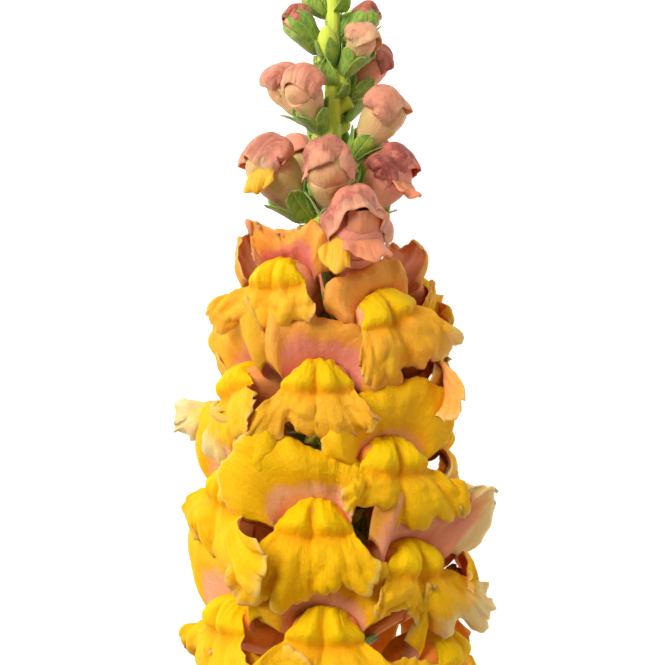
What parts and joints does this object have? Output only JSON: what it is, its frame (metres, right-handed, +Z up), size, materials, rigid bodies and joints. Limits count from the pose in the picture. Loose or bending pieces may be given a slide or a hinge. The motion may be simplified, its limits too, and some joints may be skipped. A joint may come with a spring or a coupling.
{
  "type": "snapdragon stem",
  "caption": "Cut snapdragon stem lying down: a leafy green stem, a dense spike of two-lipped blooms, closed buds and green tip buds.",
  "frame": {"origin": "on the surface that the stem lies on, under the middle of the whole plant's bounding box", "axes": "+Y along the stem from its cut end to its tip, +Z up, +X to the right as seen from above with the tip away"},
  "size_m": [0.1048, 0.4244, 0.0681],
  "materials": {
    "petal": "soft matte petal, yellow swelling and lips, peach to salmon outside, with fine veins",
    "bud": "soft matte bud, dusty pink hood over a tan to yellow tube with pink veins",
    "stem": "downy green stem, cups and green buds",
    "leaf": "satin green leaf with a sunken midrib"
  },
  "bodies": {
    "root": {"bloom_01": "petal", "bloom_02": "petal", "bloom_03": "petal", "bloom_04": "petal", "bloom_05": "petal", "bloom_06": "petal", "bloom_07": "petal", "bloom_08": "petal", "bloom_09": "petal", "bloom_10": "petal", "bloom_11": "petal", "bloom_12": "petal", "bloom_13": "petal", "bloom_14": "petal", "bloom_15": "petal", "bloom_16": "petal", "bloom_17": "petal", "bloom_18": "petal", "bloom_19": "petal", "bloom_20": "petal", "bloom_21": "petal", "bloom_22": "petal", "bloom_23": "petal", "bloom_24": "petal", "bloom_25": "petal", "bloom_26": "petal", "bloom_27": "petal", "bloom_28": "petal", "bud_01": "bud", "bud_02": "bud", "bud_03": "bud", "bud_04": "bud", "bud_05": "bud", "bud_06": "bud", "bud_07": "bud", "bud_08": "bud", "bud_09": "bud", "bud_10": "bud", "bud_11": "bud", "bud_12": "bud", "bud_13": "bud", "bud_14": "bud", "stem": "stem", "leaf_01": "leaf", "leaf_02": "leaf", "leaf_03": "leaf", "leaf_04": "leaf", "leaf_05": "leaf", "leaf_06": "leaf", "leaf_07": "leaf", "leaf_08": "leaf"}
  },
  "joints": []
}
